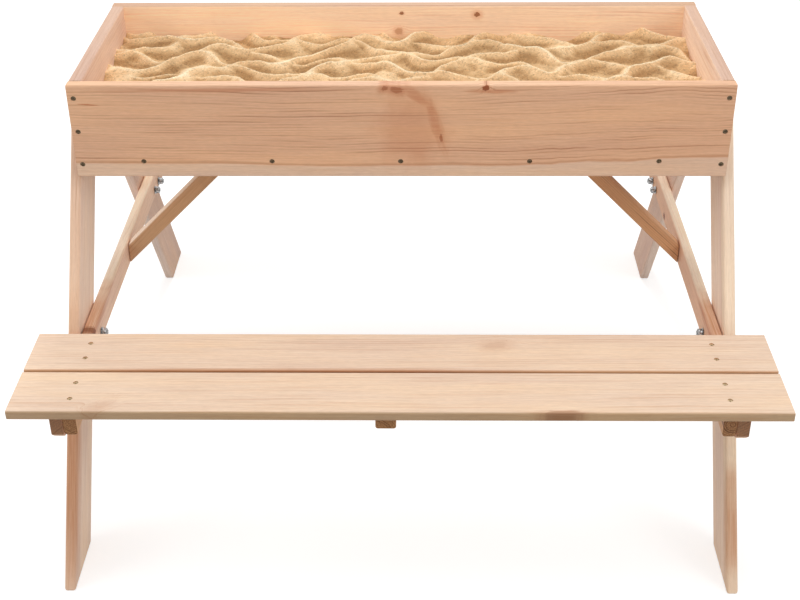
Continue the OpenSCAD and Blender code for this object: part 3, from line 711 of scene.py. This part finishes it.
def new_tree(name, sizes):
    """Geometry tree with a base, sizes and a material coming in and a mesh going out."""
    tree = new_group(name, "GeometryNodeTree",
                     {"Base": "Geometry", **sizes, "Material": "Material"}, {"Mesh": "Geometry"})
    return tree, add(tree, "NodeGroupInput").outputs


def strew_and_finish(tree, given, points, shape, placing):
    """End a tree: put the shape at each point, turned and sized by placing, as real geometry."""
    copies = add(tree, "GeometryNodeInstanceOnPoints", {"Points": points, "Instance": shape, **placing})
    real = add(tree, "GeometryNodeRealizeInstances", {"Geometry": copies})
    done = add(tree, "GeometryNodeSetMaterial", {"Geometry": real, "Material": given["Material"]})
    add(tree, "NodeGroupOutput", {"Mesh": done})


def place_and_finish(tree, given, shape):
    """End a fastener's tree: put it at each point of the base, turned to the direction kept there."""
    way = add(tree, "GeometryNodeInputNamedAttribute", {"Name": "direction"}, data_type="FLOAT_VECTOR")
    turn = add(tree, "FunctionNodeAlignRotationToVector", {"Vector": way}, axis="Z")
    points = add(tree, "GeometryNodeMeshToPoints", {"Mesh": given["Base"]})
    strew_and_finish(tree, given, points, shape, {"Rotation": turn})


def turn_profile(tree, count, radius, depth, sides):
    """Turn a solid on the Z axis from count rings; radius and depth are read at each ring's index."""
    line = add(tree, "GeometryNodeMeshLine", {"Count": count, "Offset": (0, 0, 0.1 * MM)})
    height = add(tree, "ShaderNodeCombineXYZ", {"Z": depth})
    shaped = add(tree, "GeometryNodeSetPosition", {"Geometry": line, "Position": height})
    kept = add(tree, "GeometryNodeStoreNamedAttribute",
               {"Geometry": shaped, "Name": "radius_here", "Value": radius})
    spine = add(tree, "GeometryNodeMeshToCurve", {"Mesh": kept})
    ring = add(tree, "GeometryNodeCurvePrimitiveCircle", {"Resolution": sides, "Radius": 1})
    back = add(tree, "GeometryNodeInputNamedAttribute", {"Name": "radius_here"}, data_type="FLOAT")
    solid = add(tree, "GeometryNodeCurveToMesh",
                {"Curve": spine, "Profile Curve": ring, "Scale": back, "Fill Caps": True})
    return add(tree, "GeometryNodeRemoveAttribute", {"Geometry": solid, "Name": "radius_here"})


def screw_tree():
    """Countersunk wood screw with a cross recess and a ridged shank."""
    tree, given = new_tree("countersunk screws",
                           {"Head Width": "Float", "Shank Width": "Float", "Length": "Float",
                            "Brim": "Float", "Thread Pitch": "Float"})
    rings = 40
    index = add(tree, "GeometryNodeInputIndex")
    share = add(tree, "ShaderNodeMath", {0: index, 1: rings - 1}, operation="DIVIDE")
    depth = add(tree, "ShaderNodeMath", {0: share, 1: given["Length"]}, operation="MULTIPLY")
    head, shank = (add(tree, "ShaderNodeMath", {0: given[width], 1: 0.5}, operation="MULTIPLY")
                   for width in ("Head Width", "Shank Width"))
    below = add(tree, "ShaderNodeMath", {0: depth, 1: given["Brim"]}, operation="SUBTRACT")
    cone = add(tree, "ShaderNodeMath", {0: head, 1: below}, operation="SUBTRACT")
    capped = add(tree, "ShaderNodeMath", {0: cone, 1: head}, operation="MINIMUM")
    turns = add(tree, "ShaderNodeMath", {0: depth, 1: given["Thread Pitch"]}, operation="DIVIDE")
    tooth = add(tree, "ShaderNodeMath", {0: turns, 1: 1}, operation="PINGPONG")
    root = add(tree, "ShaderNodeMath", {0: tooth, 1: 0.3, 2: 0.7}, operation="MULTIPLY_ADD")
    ridged = add(tree, "ShaderNodeMath", {0: shank, 1: root}, operation="MULTIPLY")
    body = add(tree, "ShaderNodeMath", {0: capped, 1: ridged}, operation="MAXIMUM")
    to_tip = add(tree, "ShaderNodeMath", {0: given["Length"], 1: depth}, operation="SUBTRACT")
    point = add(tree, "ShaderNodeMath", {0: to_tip, 1: 0.6, 2: 0.2 * MM}, operation="MULTIPLY_ADD")
    radius = add(tree, "ShaderNodeMath", {0: body, 1: point}, operation="MINIMUM")
    solid = turn_profile(tree, rings, radius, depth, SCREW_SIDES)
    # The recess is a cross whose arms are a seventh of the head wide and half the head long. One arm is a
    # little deeper, so that no two of its faces lie in one plane.
    thin = add(tree, "ShaderNodeMath", {0: given["Head Width"], 1: 0.15}, operation="MULTIPLY")
    one = add(tree, "ShaderNodeCombineXYZ", {0: head, 1: thin, 2: 2.6 * MM})
    other = add(tree, "ShaderNodeCombineXYZ", {0: thin, 1: head, 2: 2.8 * MM})
    arms = [add(tree, "GeometryNodeMeshCube", {"Size": size}) for size in (one, other)]
    cut = add(tree, "GeometryNodeMeshBoolean", {"Mesh 1": solid, "Mesh 2": arms[0]}, operation="DIFFERENCE")
    feed(tree, cut, {"Mesh 2": arms[1]})
    place_and_finish(tree, given, cut)
    return tree


def bolt_tree():
    """Coach bolt: a shallow domed head, a plain shank and a thread at its end."""
    tree, given = new_tree("coach bolts", {"Head Width": "Float", "Head Height": "Float",
                                           "Shank Width": "Float", "Length": "Float",
                                           "Thread Length": "Float", "Thread Pitch": "Float"})
    dome_rings = 8
    rings = 72
    index = add(tree, "GeometryNodeInputIndex")
    head, shank = (add(tree, "ShaderNodeMath", {0: given[width], 1: 0.5}, operation="MULTIPLY")
                   for width in ("Head Width", "Shank Width"))
    # The dome is close to a quarter of an ellipse, drawn by angle so that its top is smooth
    angle = add(tree, "ShaderNodeMath", {0: index, 1: math.pi / 2 / dome_rings}, operation="MULTIPLY")
    sine = add(tree, "ShaderNodeMath", {0: angle}, operation="SINE")
    dome_radius = add(tree, "ShaderNodeMath", {0: sine, 1: head}, operation="MULTIPLY")
    cosine = add(tree, "ShaderNodeMath", {0: angle}, operation="COSINE")
    fall = add(tree, "ShaderNodeMath", {0: 1, 1: cosine}, operation="SUBTRACT")
    dome_depth = add(tree, "ShaderNodeMath", {0: fall, 1: given["Head Height"]}, operation="MULTIPLY")
    after = add(tree, "ShaderNodeMath", {0: index, 1: dome_rings + 1}, operation="SUBTRACT")
    share = add(tree, "ShaderNodeMath", {0: after, 1: rings - dome_rings - 2}, operation="DIVIDE")
    rest = add(tree, "ShaderNodeMath", {0: given["Length"], 1: given["Head Height"]}, operation="SUBTRACT")
    shank_depth = add(tree, "ShaderNodeMath", {0: share, 1: rest, 2: given["Head Height"]},
                      operation="MULTIPLY_ADD")
    in_dome = add(tree, "FunctionNodeCompare", {"A": index, "B": dome_rings}, data_type="INT",
                  operation="LESS_EQUAL")
    depth = add(tree, "GeometryNodeSwitch", {"Switch": in_dome, "False": shank_depth, "True": dome_depth},
                input_type="FLOAT")
    to_end = add(tree, "ShaderNodeMath", {0: given["Length"], 1: depth}, operation="SUBTRACT")
    threaded = add(tree, "ShaderNodeMath", {0: to_end, 1: given["Thread Length"]}, operation="LESS_THAN")
    turns = add(tree, "ShaderNodeMath", {0: to_end, 1: given["Thread Pitch"]}, operation="DIVIDE")
    tooth = add(tree, "ShaderNodeMath", {0: turns, 1: 1}, operation="PINGPONG")
    groove = add(tree, "ShaderNodeMath", {0: tooth, 1: threaded}, operation="MULTIPLY")
    share_left = add(tree, "ShaderNodeMath", {0: groove, 1: -0.16, 2: 1}, operation="MULTIPLY_ADD")
    shank_radius = add(tree, "ShaderNodeMath", {0: shank, 1: share_left}, operation="MULTIPLY")
    radius = add(tree, "GeometryNodeSwitch", {"Switch": in_dome, "False": shank_radius, "True": dome_radius},
                 input_type="FLOAT")
    place_and_finish(tree, given, turn_profile(tree, rings, radius, depth, 24))
    return tree


def pierced_tree():
    """Washer or nut: a flat piece of any number of sides, with a round hole and its corners turned off."""
    tree, given = new_tree("washers and nuts", {"Sides": "Int", "Corner Width": "Float", "Thickness": "Float",
                                                "Hole": "Float", "Corner Ball": "Float"})
    outer, inner, ball, half = (
        add(tree, "ShaderNodeMath", {0: given[width], 1: 0.5}, operation="MULTIPLY")
        for width in ("Corner Width", "Hole", "Corner Ball", "Thickness"))
    blank = add(tree, "GeometryNodeMeshCylinder",
                {"Vertices": given["Sides"], "Radius": outer, "Depth": given["Thickness"]})
    bore = add(tree, "GeometryNodeMeshCylinder", {"Vertices": 24, "Radius": inner, "Depth": 20 * MM})
    chamfer = add(tree, "GeometryNodeMeshUVSphere", {"Segments": 48, "Rings": 32, "Radius": ball})
    eased = add(tree, "GeometryNodeMeshBoolean", {"Mesh 2": blank}, operation="INTERSECT")
    feed(tree, eased, {"Mesh 2": chamfer})
    pierced = add(tree, "GeometryNodeMeshBoolean", {"Mesh 1": eased, "Mesh 2": bore}, operation="DIFFERENCE")
    lift = add(tree, "ShaderNodeCombineXYZ", {2: half})
    seated = add(tree, "GeometryNodeTransform", {"Geometry": pierced, "Translation": lift})
    place_and_finish(tree, given, seated)
    return tree


def run_tree(name, tree, mesh, material, values):
    """Run a geometry tree on a mesh and keep the result as a plain mesh piece."""
    piece = new_piece(name, mesh, material)
    modifier = piece.modifiers.new(tree.name, "NODES")
    modifier.node_group = tree
    values = dict(values, Material=material)
    for item in tree.interface.items_tree:
        if item.item_type == "SOCKET" and item.in_out == "INPUT" and item.name in values:
            modifier[item.identifier] = values[item.name]
    bake(piece)
    return piece


def fasteners(node, tree, places, material, values):
    """Fasteners of one CAD node, from their places and directions."""
    mesh = bpy.data.meshes.new(node + "_places")
    mesh.from_pydata([start for start, _, _ in places], [], [])
    ways = mesh.attributes.new("direction", "FLOAT_VECTOR", "POINT")
    ways.data.foreach_set("vector", [c for _, way, _ in places for c in way])
    piece = run_tree(node + "_turned", tree, mesh, material, values)
    if "direction" in piece.data.attributes:
        piece.data.attributes.remove(piece.data.attributes["direction"])
    shade(piece.data)
    settle(piece, node)


SCREW_TREE = screw_tree()
for node, places in SCREWS.items():
    fasteners(node, SCREW_TREE, places, SHADED_SCREW_STEEL if "panel" in node else LIT_SCREW_STEEL,
              {"Head Width": 6 * MM, "Shank Width": 3.5 * MM, "Brim": 0.4 * MM, "Thread Pitch": 1.6 * MM,
               "Length": places[0][2]})
BOLT_TREE = bolt_tree()
PIERCED_TREE = pierced_tree()
WASHER = {"Sides": 48, "Corner Width": 12 * MM, "Thickness": 1.6 * MM, "Hole": 6.3 * MM,
          "Corner Ball": 12.05 * MM}
NUT = {"Sides": 6, "Corner Width": 11.5 * MM, "Thickness": 5 * MM, "Hole": 6.3 * MM,
       "Corner Ball": 11.9 * MM}
for joint in ("beam", "tray"):
    bolts = fastener_places(joint + "_bolts")
    fasteners(joint + "_bolts", BOLT_TREE, bolts, ZINC,
              {"Head Width": 15 * MM, "Head Height": 3.2 * MM, "Shank Width": 6 * MM, "Length": bolts[0][2],
               "Thread Length": 14 * MM, "Thread Pitch": 0.9 * MM})
    for node, values in ((joint + "_washers", WASHER), (joint + "_nuts", NUT)):
        fasteners(node, PIERCED_TREE, fastener_places(node, long=False), ZINC, values)


# Sand

def wave(t, start=0):
    """A smooth wave that repeats each time t grows by 1."""
    return np.sin(2 * np.pi * (t + start))


def crest(t):
    """Sharp crests, 1 high, with round hollows between them, one each time t grows by 1."""
    return 1 - np.abs(np.sin(np.pi * t)) ** 1.15


def sand_form(x, y):
    """The sand at points in millimetres, as the solid has it: its height, and how near a crest it is.

    Two sets of crests wander, cross and swell, with short ones in the hollows between them.
    """
    u = x / RIPPLE_PITCH
    v = y / RIPPLE_PITCH
    across = u + 0.2 * wave(v / 2, 0.08) + 0.13 * wave((u + v) / 1.4, 0.55)
    along = v + 0.25 * wave(u / 3.2, 0.1) + 0.15 * wave((u - v / 2) / 1.5, 0.03)
    swell = wave(u / 5.2, 0.2) * wave((v + 0.3 * u) / 4, 0.25)
    rising = crest(along + 0.34 * across) * (0.8 + 0.2 * swell)
    falling = crest((along - 0.52 * across) / 1.2 + 0.3) * (0.85 - 0.15 * swell)
    main = np.maximum(rising, falling)
    short = crest((across + 0.25 * along) / 2 + 0.1) * (1 - main)
    return SAND_LEVEL + RIPPLE_HEIGHT * (0.75 * main + 0.25 * short + 0.12 * swell - 0.4), main


def blurred(grid, width):
    """A grid of values smoothed over a width in cells."""
    margin = 3 * math.ceil(width)
    wide = np.pad(grid, margin, mode="reflect")
    down, over = (np.fft.fftfreq(n) for n in wide.shape)
    fade = np.exp(-2 * (math.pi * width) ** 2 * (down[:, None] ** 2 + over[None, :] ** 2))
    smooth = np.real(np.fft.ifft2(np.fft.fft2(wide) * fade))
    return smooth[margin:-margin, margin:-margin]


def lumps(shape):
    """Uneven lumps that hands and toys leave in the sand, in millimetres, with their widths in cells."""
    dice = np.random.default_rng(11)
    total = np.zeros(shape)
    for width, height in ((1, 0.2), (2.5, 0.5), (6, 1.0)):
        noise = blurred(dice.standard_normal(shape), width)
        total += noise / noise.std() * height
    return total


def sand_mesh(name, closed):
    """Sand from the tray's floor up to its rippled top, or the top alone, with a point at each cell."""
    low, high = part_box("sand_fill")
    nx, ny = (round((high[k] - low[k]) / MM / SAND_CELL) for k in (0, 1))
    xs, ys = (np.linspace(low[k], high[k], n + 1) for k, n in ((0, nx), (1, ny)))
    gx, gy = np.meshgrid(xs, ys)
    height, near_crest = sand_form(gx / MM, gy / MM)
    height += lumps(height.shape)
    gz = np.minimum(height * MM, high.z)
    points = np.stack([gx, gy, gz], -1).reshape(-1, 3)
    row = nx + 1
    faces = [(j * row + i, j * row + i + 1, (j + 1) * row + i + 1, (j + 1) * row + i)
             for j in range(ny) for i in range(nx)]
    if closed:
        rim = (list(range(row)) + [j * row + nx for j in range(1, ny + 1)]
               + [ny * row + nx - i for i in range(1, row)] + [(ny - j) * row for j in range(1, ny)])
        under = points[rim].copy()
        under[:, 2] = low.z
        base = len(points)
        count = len(rim)
        points = np.concatenate([points, under])
        faces += [(rim[(k + 1) % count], rim[k], base + k, base + (k + 1) % count) for k in range(count)]
        faces.append([base + k for k in reversed(range(count))])
    mesh = bpy.data.meshes.new(name)
    mesh.from_pydata(points.tolist(), [], faces)
    mesh.validate()
    # Fine dry sand gathers on the crests and coarse dark grains roll down to the slopes that face the front;
    # the same value also paints highlights on the crests and painted shade on the slopes that face the front
    proud = np.clip((height - blurred(height, 6)) / CREST_HEIGHT, -1, 1)
    facing = np.clip(np.gradient(height, axis=0) / SAND_CELL / STEEP, 0, 1)
    fine = 0.52 + 0.27 * proud + 0.35 * np.clip(near_crest * 8 - 7, 0, 1) - 0.37 * facing
    values = np.full(len(points), 0.5)
    values[:fine.size] = fine.ravel()
    mesh.attributes.new("fineness_and_painted_light", "FLOAT", "POINT").data.foreach_set("value", values)
    return mesh


def dry_sand(name, loose):
    """Dry quartz sand: golden grains with pale and dark ones among them, dull all over."""
    material, tree, shader = new_material(name)
    where = add(tree, "ShaderNodeTexCoord").outputs["Object"]
    # Grains are 0.3 to 0.8 mm and are drawn 2 mm across, the smallest that the picture shows
    cells = add(tree, "ShaderNodeTexVoronoi", {"Vector": where, "Scale": 1 / (2 * MM), "Randomness": 1})
    pick = add(tree, "ShaderNodeSeparateColor", {0: cells.outputs["Color"]})
    sorting_and_painted_light = add(tree, "ShaderNodeAttribute", attribute_name="fineness_and_painted_light").outputs["Fac"]
    # The ramp turns the slopes that face the front dark and the crests pale: the sand's sorting, and painted
    # shade and highlight as well
    tones = set_ramp(add(tree, "ShaderNodeValToRGB", {"Fac": sorting_and_painted_light}),
                     ((0, colour("#BA9265")), (0.25, colour("#D8B182")), (0.55, colour("#F1CD9F")),
                      (1, colour("#FEEDCA"))))
    speck = set_ramp(add(tree, "ShaderNodeValToRGB", {"Fac": pick}),
                     ((0, 0.7), (0.12, 0.85), (0.35, 0.95), (0.85, 1.03), (1, 1.17)))
    speckled = add(tree, "ShaderNodeVectorMath", {0: tones, 1: speck}, operation="MULTIPLY")
    # Drifts of finer, paler sand lie 30 to 80 mm apart
    drift = add(tree, "ShaderNodeTexNoise", {"Vector": where, "Scale": 22, "Detail": 3})
    tint = add(tree, "ShaderNodeMapRange", {0: drift, 1: 0.3, 2: 0.7, 3: 0.93, 4: 1.06})
    toned = add(tree, "ShaderNodeVectorMath", {0: speckled, "Scale": tint}, operation="SCALE")
    rough = add(tree, "ShaderNodeMapRange", {0: pick, 3: 0.8, 4: 0.95})
    feed(tree, shader, {"Base Color": toned, "Roughness": rough, "Specular IOR Level": 0.2})
    if not loose:
        grit = add(tree, "ShaderNodeMath", {0: cells.outputs["Distance"], 1: -1}, operation="MULTIPLY")
        bump = add(tree, "ShaderNodeBump", {"Height": grit, "Strength": 0.6, "Distance": 1 * MM})
        feed(tree, shader, {"Normal": bump})
    return material


def grain_tree():
    """Loose grains strewn over the sand: small faceted stones of random size and turn."""
    tree, given = new_tree("loose sand grains", {"Grains Per Square Metre": "Float",
                                                 "Grain Radius": "Float", "Seed": "Int"})
    strewn = add(tree, "GeometryNodeDistributePointsOnFaces",
                 {"Mesh": given["Base"], "Density": given["Grains Per Square Metre"], "Seed": given["Seed"]})
    grain = add(tree, "GeometryNodeMeshIcoSphere", {"Radius": given["Grain Radius"], "Subdivisions": 1})
    size = add(tree, "FunctionNodeRandomValue", {2: 0.5, 3: 1.3, "Seed": given["Seed"]}, data_type="FLOAT")
    turn = add(tree, "FunctionNodeRandomValue", {1: (6.28, 6.28, 6.28), "Seed": given["Seed"]},
               data_type="FLOAT_VECTOR")
    strew_and_finish(tree, given, strewn, grain, {"Rotation": turn, "Scale": size})
    return tree


sand = new_piece("sand", sand_mesh("sand", True), dry_sand("dry quartz sand", False))
shade(sand.data, angle=math.radians(60))
settle(sand, "sand_fill")
grains = run_tree("loose_sand_grains", grain_tree(), sand_mesh("sand top", False),
                  dry_sand("loose quartz grains", True),
                  {"Grains Per Square Metre": 22000.0, "Grain Radius": 0.8 * MM, "Seed": 7})
settle(grains, None)


# Camera, floor and light

# Grey of the floor, which takes the shadow, and the glow that lifts it to white where it is seen
FLOOR_GREY = 0.58
FLOOR_GLOW = 0.6

# How strongly the white surroundings light the table
SURROUND = 0.56


def photo_camera():
    """Camera at the photograph's place: 1.65 m in front, 1.18 m up, looking down by 31.55 degrees."""
    pitch, yaw, roll = (math.radians(angle) for angle in (31.55, -1.04, -0.46))
    forward = Vector((math.sin(yaw) * math.cos(pitch), math.cos(yaw) * math.cos(pitch), -math.sin(pitch)))
    level = Vector((math.cos(yaw), -math.sin(yaw), 0))
    upward = level.cross(forward)
    right = math.cos(roll) * level + math.sin(roll) * upward
    up = -math.sin(roll) * level + math.cos(roll) * upward
    data = bpy.data.cameras.new("camera")
    data.lens = 59.88
    data.sensor_width = 36
    camera = in_scene("camera", data)
    turn = Matrix((right, up, -forward)).transposed().to_4x4()
    camera.matrix_world = Matrix.Translation((0.025, -1.6497, 1.1764)) @ turn
    bpy.context.scene.camera = camera


def lamp(name, place, target, size, power):
    """Square lamp of a size in metres and a power in watts, turned to its target."""
    data = bpy.data.lights.new(name, "AREA")
    data.size = size
    data.energy = power
    hung = in_scene(name, data)
    hung.location = place
    hung.rotation_euler = (Vector(target) - Vector(place)).to_track_quat("-Z", "Y").to_euler()


def seen_directly(tree):
    """1 for a ray that shows the surface itself, in the picture, in a reflection or through glass."""
    path = add(tree, "ShaderNodeLightPath").outputs
    glossy = add(tree, "ShaderNodeMath", {0: path["Is Camera Ray"], 1: path["Is Glossy Ray"]},
                 operation="MAXIMUM")
    return add(tree, "ShaderNodeMath", {0: glossy, 1: path["Is Transmission Ray"]}, operation="MAXIMUM")


def studio():
    """White floor that keeps the soft shadow, white surroundings, and a key, a back and two fill lamps."""
    bm = bmesh.new()
    bmesh.ops.create_circle(bm, cap_ends=True, segments=64, radius=8)
    mesh = bpy.data.meshes.new("floor")
    bm.to_mesh(mesh)
    bm.free()
    # Matt white paper: no gloss, and it glows only for rays that show the floor itself
    material, tree, shader = new_material("matt white paper")
    glow = add(tree, "ShaderNodeMath", {0: seen_directly(tree), 1: FLOOR_GLOW}, operation="MULTIPLY")
    feed(tree, shader, {"Base Color": (FLOOR_GREY, FLOOR_GREY, FLOOR_GREY, 1), "Roughness": 0.9,
                        "Emission Color": (1, 1, 1, 1), "Emission Strength": glow})
    new_piece("floor", mesh, material)
    world = bpy.data.worlds.new("white studio")
    world.use_nodes = True
    bpy.context.scene.world = world
    tree = world.node_tree
    strength = add(tree, "ShaderNodeMix", {0: seen_directly(tree), 2: SURROUND, 3: 1.0})
    feed(tree, tree.nodes["Background"], {"Color": (1, 1, 1, 1), "Strength": strength})
    lamp("key", (0.1, -0.35, 2.75), (0, 0, 0.4), 1.2, 19)
    lamp("back", (-0.2, 2.1, 2.0), (0, 0, 0.45), 0.5, 20)
    lamp("left fill", (-2.2, -0.6, 1.2), (0, 0, 0.3), 1.2, 12)
    lamp("right fill", (2.0, -1.4, 1.4), (0, 0, 0.3), 1.2, 12)


photo_camera()
studio()
bpy.context.scene.view_settings.view_transform = "Standard"
